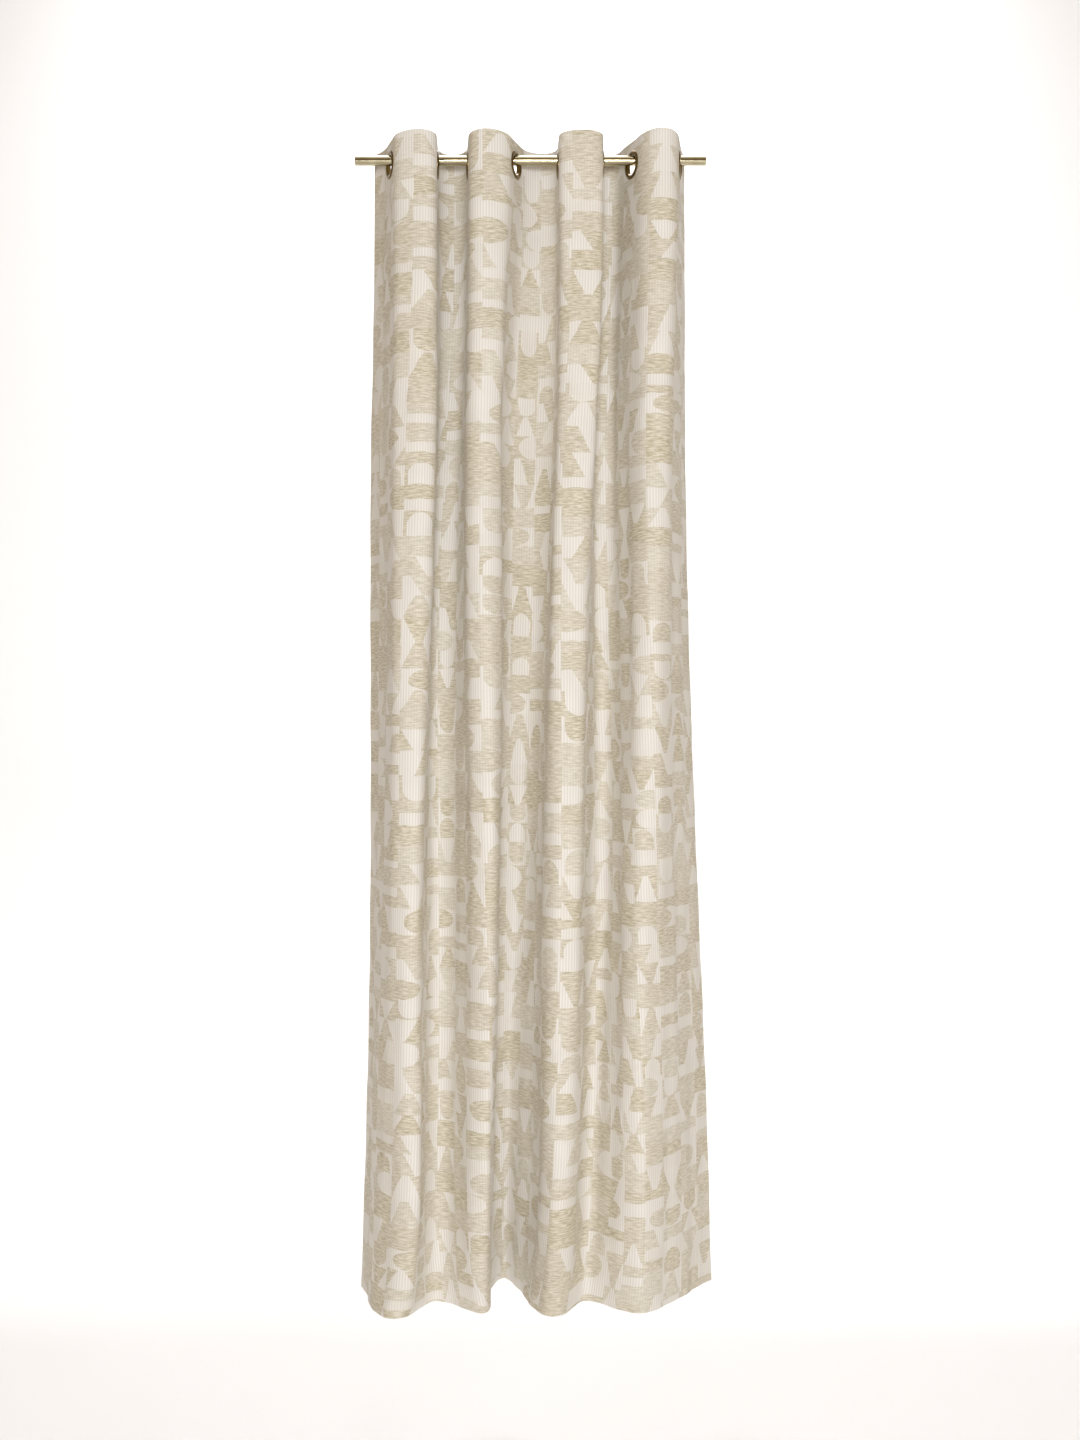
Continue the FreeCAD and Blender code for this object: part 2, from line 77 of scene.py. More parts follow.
def put(tree, kind, inputs=(), **settings):
    """Adds a node with its settings. Each input is a value or another node's output. Returns its outputs."""
    node = tree.nodes.new(kind)
    for name, value in settings.items():
        setattr(node, name, value)
    for socket, value in dict(inputs).items():
        if isinstance(value, bpy.types.NodeSocket):
            tree.links.new(value, node.inputs[socket])
        else:
            node.inputs[socket].default_value = value
    return node.outputs


def new_finish(name, **values):
    """A material with its shader's own values set. Returns it with its tree and its shader."""
    finish = bpy.data.materials.new(name)
    finish.use_nodes = True
    shader = finish.node_tree.nodes["Principled BSDF"]
    for socket, value in values.items():
        shader.inputs[socket.replace("_", " ")].default_value = value
    return finish, finish.node_tree, shader


def shade(tree, shader, **outputs):
    """Links outputs to the shader's sockets."""
    for socket, output in outputs.items():
        tree.links.new(output, shader.inputs[socket.replace("_", " ")])


# Antique brass plate over drawn tube: warm and pale, with soft stripes from the faint lines
# that drawing leaves along the tube, under clear lacquer.
ROD_LINE_GAP = 0.0011
ROD_CLOUD_SIZE = 0.045
rod_brass, tree, shader = new_finish("plated_rod_brass", Metallic=1.0, Coat_Weight=0.25, Coat_Roughness=0.04)
place = put(tree, "ShaderNodeTexCoord")["Object"]
line_scale = (4, 1 / ROD_LINE_GAP, 1 / ROD_LINE_GAP)
drawn = put(tree, "ShaderNodeMapping", {"Vector": place, "Scale": line_scale})[0]
lines = put(tree, "ShaderNodeTexNoise", {"Vector": drawn, "Scale": 1.0, "Detail": 3.0, "Roughness": 0.6})[0]
cloud = put(tree, "ShaderNodeTexNoise", {"Vector": place, "Scale": 1 / ROD_CLOUD_SIZE, "Detail": 4.0})[0]
mixed = put(tree, "ShaderNodeMath", {0: lines, 1: cloud}, operation="MULTIPLY")[0]
tone = put(tree, "ShaderNodeMapRange", {"Value": mixed, "From Min": 0.12, "From Max": 0.4})[0]
# A Mix node takes its two colours at inputs 6 and 7, and gives the colour between them at output 2.
colour = put(
    tree, "ShaderNodeMix", {"Factor": tone, 6: linear("9C9275"), 7: linear("BEB598")}, data_type="RGBA"
)[2]
rough = put(tree, "ShaderNodeMapRange", {"Value": lines, "To Min": 0.05, "To Max": 0.09})[0]
bump = put(tree, "ShaderNodeBump", {"Height": lines, "Strength": 0.25, "Distance": 0.00001})[0]
shade(tree, shader, Base_Color=colour, Roughness=rough, Normal=bump)
nodes["rod_tube"].material_slots[0].material = rod_brass

# ---------------------------------------------------------------- eyelets
# Eight pressed metal eyelets, 40 mm inside, each of two rings: a domed flange with the barrel
# at the front, and a domed washer behind, over which the barrel's lip is rolled.

# Antique brass, plated and relieved: dark olive brown in the hollows, polished gold where it is
# rubbed, with specks nine times finer than its clouds.
PATINA_SIZE = 0.006
eyelet_brass, tree, shader = new_finish(
    "antique_eyelet_brass", Metallic=1.0, Coat_Weight=0.2, Coat_Roughness=0.2
)
place = put(tree, "ShaderNodeTexCoord")["Object"]
patina = put(
    tree, "ShaderNodeTexNoise", {"Vector": place, "Scale": 1 / PATINA_SIZE, "Detail": 5.0, "Roughness": 0.65}
)[0]
specks = put(tree, "ShaderNodeTexNoise", {"Vector": place, "Scale": 9 / PATINA_SIZE, "Detail": 2.0})[0]
both = put(tree, "ShaderNodeMath", {0: patina, 1: specks, 2: 0.5}, operation="MULTIPLY_ADD")[0]
tone = put(tree, "ShaderNodeMapRange", {"Value": both, "From Min": 0.45, "From Max": 1.1})[0]
colour = put(
    tree, "ShaderNodeMix", {"Factor": tone, 6: linear("4A3C22"), 7: linear("A88D56")}, data_type="RGBA"
)[2]
rough = put(tree, "ShaderNodeMapRange", {"Value": both, "To Min": 0.18, "To Max": 0.34})[0]
bump = put(tree, "ShaderNodeBump", {"Height": specks, "Strength": 0.15, "Distance": 0.00004})[0]
shade(tree, shader, Base_Color=colour, Roughness=rough, Normal=bump)

EYELETS = 8
for number in range(1, EYELETS + 1):
    for side in ("front", "back"):
        nodes[f"eyelet_{number}_{side}_ring"].material_slots[0].material = eyelet_brass

# ---------------------------------------------------------------- curtain panel
# One length of jacquard cloth, 1.40 m wide and 2.45 m long when flat, punched for the eyelets.
# It hangs in seven folds between the eyelets, which open out and lean a little on the way down.

CLOTH_WIDTH = 1.40
CLOTH_DROP = 2.448
# Depths of a piece's two faces are measured back from the middle of the panel's cloth.
CLOTH_BACK = 0.0005
CLOTH_FRONT = -CLOTH_BACK
PITCH = CLOTH_WIDTH / EYELETS
HEADER_DEPTH = 0.100
EYELET_DOWN = 0.048
CLOTH_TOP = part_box("curtain_panel")[1][2]
# Each level of the cloth is worked out in equal steps, so many from one eyelet to the next.
STEPS = 140
STEP = PITCH / STEPS
# The front flange's crown stands this far ahead of the cloth's middle.
CROWN_AHEAD = 0.0034


def eyelet_stand(number):
    """Where the cloth's middle crosses the rod at an eyelet, and its heading there.

    The ring's flat faces, which lie along the cloth, have the most area of any that face one way.
    """
    mesh = nodes[f"eyelet_{number}_front_ring"].data
    areas = {}
    for face in mesh.polygons:
        faced = tuple(round(part, 4) for part in face.normal)
        areas[faced] = areas.get(faced, 0) + face.area
    to_back = np.array(max(areas, key=areas.get)[:2])
    to_back /= np.linalg.norm(to_back)
    heading = np.array((to_back[1], -to_back[0]))
    points = np.array([vertex.co for vertex in mesh.vertices])[:, :2]
    depth = (points @ to_back).min() + CROWN_AHEAD
    middle = ((points @ heading).min() + (points @ heading).max()) / 2
    return to_back * depth + heading * middle, math.atan2(heading[1], heading[0])


def walk(headings):
    """The points passed by equal steps along these headings."""
    moves = STEP * np.column_stack((np.cos(headings), np.sin(headings)))
    return np.vstack((np.zeros(2), np.cumsum(moves, axis=0)))


# The header is straight this far to both sides of an eyelet's middle.
STRAIGHT_BESIDE = 0.031


def fold_headings(leave, arrive, reach):
    """Headings of one fold. It is straight beside both eyelets, and how it turns between them is
    solved so that it ends at the next eyelet."""
    halfway = (np.arange(STEPS) + 0.5) * STEP
    turned = np.clip((halfway - STRAIGHT_BESIDE) / (PITCH - 2 * STRAIGHT_BESIDE), 0, 1) * 2 * math.pi
    nudged_by = 1e-5

    def headings(shape):
        eased = (turned + shape[0] * np.sin(turned) + shape[1] * (1 - np.cos(turned))) / (2 * math.pi)
        return leave + (arrive - leave) * eased

    shape = np.zeros(2)
    for _ in range(15):
        miss = walk(headings(shape))[-1] - reach
        nudges = np.eye(2) * nudged_by
        slopes = [(walk(headings(shape + nudge))[-1] - reach - miss) / nudged_by for nudge in nudges]
        shape = shape - np.linalg.solve(np.transpose(slopes), miss)
    return headings(shape)


# Outside the first and the last eyelet, half a pitch of cloth turns back a little.
MARGIN_BEND = 0.03
LEFT_MARGIN_TURN = math.radians(18)
RIGHT_MARGIN_TURN = math.radians(4)

stands = [eyelet_stand(number) for number in range(1, EYELETS + 1)]
half_steps = (np.arange(STEPS // 2) + 0.5) * STEP
margin_turn = np.clip((half_steps - STRAIGHT_BESIDE) / MARGIN_BEND, 0, 1)
left_margin = (stands[0][1] + LEFT_MARGIN_TURN * margin_turn)[::-1]
right_margin = stands[-1][1] - RIGHT_MARGIN_TURN * margin_turn
headings = [left_margin]
for (place, leave), (place_after, arrive) in zip(stands, stands[1:]):
    headings.append(fold_headings(leave, arrive, place_after - place))
headings.append(right_margin)
rod_line = walk(np.concatenate(headings))
rod_line += stands[0][0] - rod_line[STEPS // 2]

# Where the folds hang at the hem: place, depth and half of the crest, in metres, with an edge at each end.
# The line swings level through each crest and comes in at a slant from both edges.
HEM_FOLDS = (
    (-0.365, 0.080, 0.030),
    (-0.282, -0.080, 0.046),
    (-0.202, 0.015, 0.032),
    (-0.094, -0.048, 0.038),
    (-0.053, 0.124, 0.020),
    (0.036, -0.068, 0.046),
    (0.126, 0.015, 0.034),
    (0.228, -0.052, 0.040),
    (0.390, 0.115, 0.040),
)
LEFT_EDGE_SLANT = (0.03, -0.05)
RIGHT_EDGE_SLANT = (-0.05, -0.05)
hem_line = []
shares = np.linspace(0, 1, 401)[:, None]
for (x, y, crest), (x_after, y_after, crest_after) in zip(HEM_FOLDS, HEM_FOLDS[1:]):
    start, end = np.array((x, y)), np.array((x_after, y_after))
    leaving = start + ((crest, 0) if hem_line else LEFT_EDGE_SLANT)
    arriving = end + (RIGHT_EDGE_SLANT if x_after == HEM_FOLDS[-1][0] else (-crest_after, 0))
    bent = (1 - shares) ** 3 * start + 3 * (1 - shares) ** 2 * shares * leaving
    bent = bent + 3 * (1 - shares) * shares ** 2 * arriving + shares ** 3 * end
    run = np.concatenate(([0], np.cumsum(np.hypot(*np.diff(bent, axis=0).T))))
    even = np.linspace(0, run[-1], STEPS + 1)
    points = np.column_stack([np.interp(even, run, bent[:, axis]) for axis in (0, 1)])
    hem_line.append(points if not hem_line else points[1:])
hem_line = np.concatenate(hem_line)

# The levels at which the folds are worked out. The header's are all alike, because the tape is stiff.
ROW_GAP = 0.0125
below_header = np.arange(HEADER_DEPTH + ROW_GAP, CLOTH_DROP, ROW_GAP)
row_downs = np.concatenate(([0, HEADER_DEPTH], below_header, [CLOTH_DROP]))
# From here down the cloth hangs free, and its folds begin to open, slowly at first.
HANG_FROM = 0.115
EASE_OVER = 0.45
FREE_OVER = 0.5


def opened(down):
    """How far the folds have changed from their shape at the rod to their shape at the hem."""
    below = max(down - HANG_FROM, 0)
    length = CLOTH_DROP - HANG_FROM
    eased = below ** 2 / (2 * EASE_OVER) if below < EASE_OVER else below - EASE_OVER / 2
    return eased / (length - EASE_OVER / 2)


def sway(down):
    """Small moves of single folds, sideways and in depth, which come and go on the way down.

    The deep fold by the middle is shallower above the hem, and its right side stands further off.
    """
    # How far across the cloth each point is, in pitches from the left edge.
    fold = np.arange(len(rod_line)) / STEPS
    free = min(max(down - HANG_FROM, 0) / FREE_OVER, 1)
    lean = 0.006 * np.sin(2.6 * down + 2.18 * fold - 2.74)
    depth = 0.005 * np.sin(2.7 * down + 1.7 * fold + 0.5)
    share = opened(down)
    above_hem = share * (1 - share ** 16)

    def beside(middle, reach):
        return np.exp(-((fold - middle) / reach) ** 2)

    lean -= (0.029 - 0.012 * share) * beside(3.6, 0.35) + 0.018 * (1 - share) * beside(7, 0.6)
    stood_off = 0.022 * beside(4.5, 0.35) + 0.055 * share * beside(1, 0.4)
    filled = -0.060 * beside(4.1, 0.45)
    return np.column_stack((lean, depth)) * free + np.column_stack((stood_off, filled)) * above_hem


def cloth_row(down):
    """One level of the cloth, from side to side. Its folds are as deep as its full width makes them."""
    share = opened(down)
    line = rod_line * (1 - share) + hem_line * share
    line = line + sway(down)
    low, high = 0.5, 2.5
    for _ in range(40):
        deeper = (low + high) / 2
        run = np.hypot(*(np.diff(line, axis=0) * (1, deeper)).T).sum()
        low, high = (deeper, high) if run < CLOTH_WIDTH else (low, deeper)
    line = line * (1, deeper)
    run = np.concatenate(([0], np.cumsum(np.hypot(*np.diff(line, axis=0).T))))
    even = np.linspace(0, run[-1], len(line))
    return np.column_stack([np.interp(even, run, line[:, axis]) for axis in (0, 1)])


cloth_rows = np.array([cloth_row(down) for down in row_downs])
ahead = np.gradient(cloth_rows, axis=1)
ahead /= np.linalg.norm(ahead, axis=2, keepdims=True)


def creases(across, down):
    """How far soft creases push the cloth back, in metres. The stiff header has none.

    Two sizes of flutes wander from side to side on the way down, and slanting pulls cross them.
    """
    free = np.clip((down - HANG_FROM) / 0.3, 0, 1)
    flutes = 0.0011 * np.sin(2 * math.pi * across / 0.118 + 2.0 * np.sin(1.7 * down) + 0.8)
    flutes += 0.0007 * np.sin(2 * math.pi * across / 0.053 + 1.5 * np.sin(2.9 * down + 1.0))
    pulls = 0.0005 * np.sin(2 * math.pi * (down / 0.21 + across / 0.13) + 3.0 * np.sin(5 * across))
    return free * (flutes + pulls)


# The top edge arches a little over the front of each fold.
ARCH_HEIGHT = 0.006


def hang(across, down, behind):
    """Points of the hung cloth from where they lie when it is flat, and how far behind its middle."""
    inside = np.clip(across, 0, CLOTH_WIDTH)
    level = np.interp(down, row_downs, np.arange(len(row_downs)))
    column = inside / CLOTH_WIDTH * (cloth_rows.shape[1] - 1)
    above = np.minimum(level.astype(int), len(row_downs) - 2)
    left = np.minimum(column.astype(int), cloth_rows.shape[1] - 2)
    down_share, across_share = (level - above)[:, None], (column - left)[:, None]

    def between(values):
        upper = values[above, left] * (1 - across_share) + values[above, left + 1] * across_share
        lower = values[above + 1, left] * (1 - across_share) + values[above + 1, left + 1] * across_share
        return upper * (1 - down_share) + lower * down_share

    forward = between(ahead)
    forward /= np.linalg.norm(forward, axis=1, keepdims=True)
    to_back = np.column_stack((-forward[:, 1], forward[:, 0]))
    plan = between(cloth_rows) + forward * (across - inside)[:, None]
    plan += to_back * (behind + creases(inside, down))[:, None]
    over_crest = np.clip(-np.cos(math.pi * inside / PITCH), 0, 1) ** 3
    arch = ARCH_HEIGHT * over_crest * np.clip(1 - down / HEADER_DEPTH, 0, 1)
    return np.column_stack((plan, CLOTH_TOP - down + arch))


# The flat cloth's mesh: square cells, and rings of cells in a square of 6 cells each way round each hole.
COLUMNS = 30 * EYELETS
CELL = CLOTH_WIDTH / COLUMNS
SQUARE = 6
HOLE_RADIUS = 0.0216
HOLE_RINGS = 5
HEADER_ROWS = [0, 0.0065]
HEADER_ROWS += [EYELET_DOWN + CELL * step for step in range(-SQUARE, SQUARE + 1)]
HEADER_ROWS += [0.0915, HEADER_DEPTH]


def flat_cloth(rows):
    """Points (across, down) and faces of the cloth laid flat at these rows, with the eyelets' holes."""
    columns = np.linspace(0, CLOTH_WIDTH, COLUMNS + 1)
    points = [(across, down) for down in rows for across in columns]
    middle_row = min(range(len(rows)), key=lambda row: abs(rows[row] - EYELET_DOWN))
    middles = [COLUMNS // EYELETS * number + COLUMNS // EYELETS // 2 for number in range(EYELETS)]

    def at(row, column):
        return row * (COLUMNS + 1) + column

    faces = []
    for row in range(len(rows) - 1):
        for column in range(COLUMNS):
            beside = min(abs(column + 0.5 - middle) for middle in middles)
            if beside > SQUARE or abs(row + 0.5 - middle_row) > SQUARE:
                upper, lower = at(row, column), at(row + 1, column)
                faces.append((upper, upper + 1, lower + 1, lower))
    for middle in middles:
        forth = range(-SQUARE, SQUARE)
        corners = [(-SQUARE, step) for step in forth] + [(step, SQUARE) for step in forth]
        corners += [(SQUARE, -step) for step in forth] + [(-step, -SQUARE) for step in forth]
        ring = [at(middle_row + down, middle + across) for down, across in corners]
        centre = np.array((columns[middle], EYELET_DOWN))
        spokes = [np.array(points[index]) - centre for index in ring]
        edges = [spoke / np.linalg.norm(spoke) * HOLE_RADIUS for spoke in spokes]
        for step in range(HOLE_RINGS - 1, -1, -1):
            inner = list(range(len(points), len(points) + len(ring)))
            for spoke, edge in zip(spokes, edges):
                points.append(tuple(centre + edge + (spoke - edge) * step / HOLE_RINGS))
            for place in range(len(ring)):
                after = (place + 1) % len(ring)
                faces.append((ring[place], ring[after], inner[after], inner[place]))
            ring = inner
    used = sorted({index for face in faces for index in face})
    renumber = {index: number for number, index in enumerate(used)}
    faces = [tuple(renumber[index] for index in face) for face in faces]
    return np.array([points[index] for index in used]), faces


def thin_solid(name, flat, faces, place, finishes, reverse=0, pattern=None):
    """A closed thin piece of cloth. place gives the points of its front and of its back.

    reverse numbers the back's finish. pattern says where the points are in the weave, if not where
    they lie flat.
    """
    count = len(flat)
    points = np.concatenate([place(flat, face) for face in ("front", "back")])
    sides = {}
    for face in faces:
        for start, end in zip(face, face[1:] + face[:1]):
            sides[(start, end)] = (end, start) not in sides
            if (end, start) in sides:
                sides[(end, start)] = False
    rims = [(end + count, start + count, start, end) for (start, end), free in sides.items() if free]
    front = [face[::-1] for face in faces]
    back = [tuple(index + count for index in face) for face in faces]
    mesh = bpy.data.meshes.new(name)
    mesh.from_pydata(points.tolist(), [], front + back + rims)
    laid = mesh.uv_layers.new(name="flat_cloth")
    corners = np.empty(len(mesh.loops), np.int32)
    mesh.loops.foreach_get("vertex_index", corners)
    laid.data.foreach_set("uv", (flat if pattern is None else pattern)[corners % count].ravel())
    for finish in finishes:
        mesh.materials.append(finish)
    used = [0] * len(front) + [reverse] * len(back) + [0] * len(rims)
    mesh.polygons.foreach_set("material_index", used)
    mesh.shade_smooth()
    mesh.set_sharp_from_angle(angle=math.radians(60))
    return hung_piece(name, mesh)


def hung_piece(name, mesh):
    """A piece that hangs from the rod, carried by the rod's body."""
    piece = bpy.data.objects.new(name, mesh)
    bpy.context.scene.collection.objects.link(piece)
    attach(piece, "rod")
    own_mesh(piece)
    return piece


# Jacquard of cotton and polyester, in two tones that swap places on the reverse. The pale ground is a fine
# upright rib, and the patches are a slubby weft that lies on it as short level threads.
PATCH_WIDTH = 0.058
PATCH_HEIGHT = 0.046
# The patches' outlines wander, and so does the cloth's tone.
WOBBLE_SIZE = 0.030
WOBBLE_BY = 0.006
CLOUD_SIZE = 1 / 14
# The real ribs stand 1.5 mm apart and the weft threads 1 mm, too fine to show, so they are drawn coarser.
RIB_GAP = 0.0060
WEFT_GAP = 0.0025
SLUB_LENGTH = 0.020

# What the patches are made of, in steps: a result, the operation and what goes into it. It starts from
# across and down, the place on the flat cloth, and ends with weft, how closely the weft lies there.
PATCH_STEPS = (
    # Columns of uneven width, each pushed up or down by its own amount.
    ("u", "DIVIDE", "across", PATCH_WIDTH),
    ("u_wave", "SINE", "u"),
    ("u", "MULTIPLY_ADD", "u_wave", 0.28, "u"),
    ("column", "FLOOR", "u"),
    ("x", "FRACT", "u"),
    ("column_hash", "WHITE_NOISE", "column", 3.7),
    ("v", "DIVIDE", "down", PATCH_HEIGHT),
    ("v", "MULTIPLY_ADD", "column_hash", 9.0, "v"),
    ("v_turn", "MULTIPLY_ADD", "column_hash", 40.0, "v"),
    ("v_wave", "SINE", "v_turn"),
    ("v", "MULTIPLY_ADD", "v_wave", 0.18, "v"),
    ("row", "FLOOR", "v"),
    ("y", "FRACT", "v"),
    # Four numbers by chance for each patch.
    ("kind", "WHITE_NOISE", "column", "row"),
    ("row_b", "ADD", "row", 71.3),
    ("turn", "WHITE_NOISE", "column", "row_b"),
    ("row_c", "ADD", "row", 143.9),
    ("ground", "WHITE_NOISE", "column", "row_c"),
    ("row_d", "ADD", "row", 211.1),
    ("size", "WHITE_NOISE", "column", "row_d"),
    ("depth", "MULTIPLY", "ground", 7.0),
    ("depth", "FRACT", "depth"),
    ("ground", "GREATER_THAN", "ground", 0.52),
    # Half of the patches stand on their heads, and half are mirrored.
    ("headlong", "GREATER_THAN", "turn", 0.5),
    ("y_less", "MULTIPLY_ADD", "headlong", -2.0, 1.0),
    ("y", "MULTIPLY_ADD", "y", "y_less", "headlong"),
    ("mirror", "MULTIPLY", "turn", 2.0),
    ("mirror", "FRACT", "mirror"),
    ("mirror", "GREATER_THAN", "mirror", 0.5),
    ("x_less", "MULTIPLY_ADD", "mirror", -2.0, 1.0),
    ("x", "MULTIPLY_ADD", "x", "x_less", "mirror"),
    ("from_middle", "SUBTRACT", "x", 0.5),
    ("beside", "ABSOLUTE", "from_middle"),
    # A wedge, narrow at one end.
    ("wedge_side", "MULTIPLY_ADD", "y", 0.36, 0.08),
    ("wedge_side", "MULTIPLY_ADD", "size", 0.08, "wedge_side"),
    ("wedge", "LESS_THAN", "beside", "wedge_side"),
    # An arch.
    ("arch_x", "DIVIDE", "beside", 0.40),
    ("arch_y", "SUBTRACT", "y", 0.45),
    ("arch_y", "MAXIMUM", "arch_y", 0.0),
    ("arch_y", "DIVIDE", "arch_y", 0.50),
    ("arch_xx", "MULTIPLY", "arch_x", "arch_x"),
    ("arch_r", "MULTIPLY_ADD", "arch_y", "arch_y", "arch_xx"),
    ("arch", "LESS_THAN", "arch_r", 1.0),
    # A half round that leans on one side.
    ("round_x", "DIVIDE", "x", 0.78),
    ("round_y", "SUBTRACT", "y", 0.5),
    ("round_y", "DIVIDE", "round_y", 0.52),
    ("round_xx", "MULTIPLY", "round_x", "round_x"),
    ("round_r", "MULTIPLY_ADD", "round_y", "round_y", "round_xx"),
    ("round", "LESS_THAN", "round_r", 1.0),
    # A slanted split.
    ("slant_side", "MULTIPLY_ADD", "y", 0.36, 0.22),
    ("slant_side", "MULTIPLY_ADD", "size", 0.2, "slant_side"),
    ("slant", "LESS_THAN", "x", "slant_side"),
    # A short block.
    ("block_top", "MULTIPLY_ADD", "size", 0.3, 0.35),
    ("block", "LESS_THAN", "y", "block_top"),
    # Which of the shapes this patch has.
    ("past_wedge", "GREATER_THAN", "kind", 0.22),
    ("past_arch", "GREATER_THAN", "kind", 0.38),
    ("past_round", "GREATER_THAN", "kind", 0.54),
    ("past_slant", "GREATER_THAN", "kind", 0.74),
    ("step_arch", "SUBTRACT", "arch", "wedge"),
    ("shape", "MULTIPLY_ADD", "past_wedge", "step_arch", "wedge"),
    ("step_round", "SUBTRACT", "round", "arch"),
    ("shape", "MULTIPLY_ADD", "past_arch", "step_round", "shape"),
    ("step_slant", "SUBTRACT", "slant", "round"),
    ("shape", "MULTIPLY_ADD", "past_round", "step_slant", "shape"),
    ("step_block", "SUBTRACT", "block", "slant"),
    ("shape", "MULTIPLY_ADD", "past_slant", "step_block", "shape"),
    ("weft", "SUBTRACT", "shape", "ground"),
    ("weft", "ABSOLUTE", "weft"),
    # The weft lies closer in some patches than in others.
    ("filled", "GREATER_THAN", "size", 0.76),
    ("weft", "MAXIMUM", "weft", "filled"),
    ("dense", "MULTIPLY_ADD", "depth", -0.45, 1.0),
    ("weft", "MULTIPLY", "weft", "dense"),
    ("sparse", "MULTIPLY_ADD", "size", 0.5, -0.25),
    ("sparse", "MAXIMUM", "sparse", 0.0),
    ("weft", "MAXIMUM", "weft", "sparse"),
)


def jacquard(name, reverse):
    """The jacquard as it is seen from its face, or from its reverse."""
    finish, tree, shader = new_finish(name, Sheen_Weight=0.12, Sheen_Roughness=0.4, IOR=1.5)
    laid = put(tree, "ShaderNodeUVMap", uv_map="flat_cloth")[0]
    wander = {"Vector": laid, "Scale": 1 / WOBBLE_SIZE, "Detail": 1.0}
    wobble = put(tree, "ShaderNodeTexNoise", wander)["Color"]
    wobble = put(tree, "ShaderNodeVectorMath", {0: wobble, 1: (-0.5, -0.5, -0.5)}, operation="ADD")[0]
    reach = (WOBBLE_BY, WOBBLE_BY, 0)
    wobbly = put(tree, "ShaderNodeVectorMath", {0: wobble, 1: reach, 2: laid}, operation="MULTIPLY_ADD")[0]
    parts = put(tree, "ShaderNodeSeparateXYZ", {0: wobbly})
    known = {"across": parts[0], "down": parts[1]}
    for result, operation, *inputs in PATCH_STEPS:
        inputs = {index: known.get(value, value) for index, value in enumerate(inputs)}
        if operation == "WHITE_NOISE":
            cell = put(tree, "ShaderNodeCombineXYZ", inputs)[0]
            noise = put(tree, "ShaderNodeTexWhiteNoise", {"Vector": cell}, noise_dimensions="2D")
            known[result] = noise["Value"]
        else:
            known[result] = put(tree, "ShaderNodeMath", inputs, operation=operation)[0]
    weft = known["weft"]
    if reverse:
        weft = put(tree, "ShaderNodeMath", {0: 1.0, 1: weft}, operation="SUBTRACT")[0]

    # Short level threads of uneven thickness, and the fine upright rib.
    threads = put(tree, "ShaderNodeMapping", {"Vector": laid, "Scale": (1 / SLUB_LENGTH, 1 / WEFT_GAP, 1)})[0]
    threads = put(
        tree, "ShaderNodeTexNoise", {"Vector": threads, "Scale": 1.0, "Detail": 2.0, "Roughness": 0.7}
    )[0]
    threads = put(tree, "ShaderNodeMapRange", {"Value": threads, "From Min": 0.40, "From Max": 0.60})[0]
    ribs = put(tree, "ShaderNodeSeparateXYZ", {0: laid})[0]
    ribs = put(tree, "ShaderNodeMath", {0: ribs, 1: 2 * math.pi / RIB_GAP}, operation="MULTIPLY")[0]
    ribs = put(tree, "ShaderNodeMath", {0: ribs}, operation="SINE")[0]
    ribs = put(tree, "ShaderNodeMapRange", {"Value": ribs, "From Min": -1.0})[0]
    cloud = put(tree, "ShaderNodeTexNoise", {"Vector": laid, "Scale": 1 / CLOUD_SIZE, "Detail": 3.0})[0]
    cloud = put(tree, "ShaderNodeMapRange", {"Value": cloud, "From Min": 0.3, "From Max": 0.7})[0]

    rib_tones = {0: ribs, 6: linear("D3CEC5"), 7: linear("E3DFD7")}
    weft_tones = {0: threads, 6: linear("B1A78B"), 7: linear("D8D0BF")}
    pale = put(tree, "ShaderNodeMix", rib_tones, data_type="RGBA")[2]
    dark = put(tree, "ShaderNodeMix", weft_tones, data_type="RGBA")[2]
    tone = put(tree, "ShaderNodeMix", {0: weft, 6: pale, 7: dark}, data_type="RGBA")[2]
    shadow = put(tree, "ShaderNodeMapRange", {"Value": cloud, "To Min": 0.95, "To Max": 1.0})[0]
    colour = put(tree, "ShaderNodeVectorMath", {0: tone, "Scale": shadow}, operation="SCALE")[0]
    rough = put(tree, "ShaderNodeMapRange", {"Value": weft, "To Min": 0.86, "To Max": 0.72})[0]
    relief = put(tree, "ShaderNodeMix", {0: weft, 2: ribs, 3: threads}, data_type="FLOAT")[0]
    relief = put(tree, "ShaderNodeMath", {0: weft, 1: 0.6, 2: relief}, operation="MULTIPLY_ADD")[0]
    bump = put(tree, "ShaderNodeBump", {"Height": relief, "Strength": 0.5, "Distance": 0.0004})[0]
    shade(tree, shader, Base_Color=colour, Roughness=rough, Normal=bump)
    return finish


face_cloth = jacquard("jacquard_face", False)
reverse_cloth = jacquard("jacquard_reverse", True)


def laid_at(front, back):
    """Placing of cloth that lies along the panel, with its two faces at these depths."""

    def place(flat, face):
        return hang(flat[:, 0], flat[:, 1], np.full(len(flat), front if face == "front" else back))

    return place


PANEL_ROWS = 177
rows = HEADER_ROWS + list(np.linspace(HEADER_DEPTH, CLOTH_DROP, PANEL_ROWS + 1)[1:])
flat, faces = flat_cloth(rows)
panel = thin_solid(
    "curtain_cloth", flat, faces, laid_at(CLOTH_FRONT, CLOTH_BACK), [face_cloth, reverse_cloth],
    1,
)
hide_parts("curtain_panel")

# ---------------------------------------------------------------- header tape
# A stiff woven band, 100 mm deep, inside the header. It keeps the folds upright at the rod
# and gives the eyelets something firm to grip.

